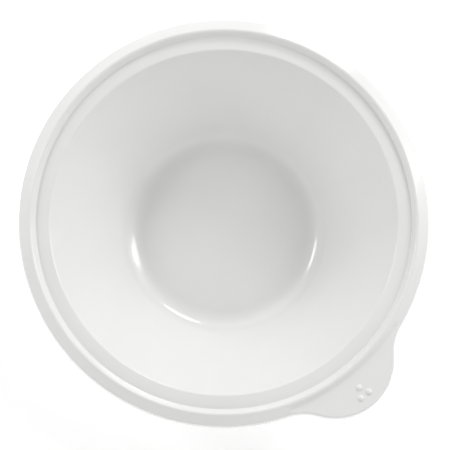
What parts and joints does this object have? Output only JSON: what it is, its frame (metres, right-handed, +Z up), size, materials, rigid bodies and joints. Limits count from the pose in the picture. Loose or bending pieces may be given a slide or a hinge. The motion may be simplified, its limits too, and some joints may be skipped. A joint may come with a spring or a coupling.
{
  "type": "bedpan",
  "caption": "Round white plastic bedpan: sloping seat wall down to a shallow well, flat ledge inside a raised rim, and a thumb tab with raised grip domes.",
  "frame": {"origin": "on the pan's axis, in the plane that the foot ring stands on", "axes": "+Z up along the pan's axis, and the thumb tab points along -Y, so X runs across the tab"},
  "size_m": [0.32, 0.3436, 0.086],
  "materials": {
    "moulding": "glossy white moulded polypropylene"
  },
  "bodies": {
    "root": {"foot_ring": "moulding", "well_floor": "moulding", "well_bend": "moulding", "seat_wall": "moulding", "lid_ledge": "moulding", "rim_crest": "moulding", "rim_band": "moulding", "rim_skirt": "moulding", "tab_root": "moulding", "tab_plate": "moulding", "tab_lip": "moulding", "grip_domes": "moulding"}
  },
  "joints": []
}
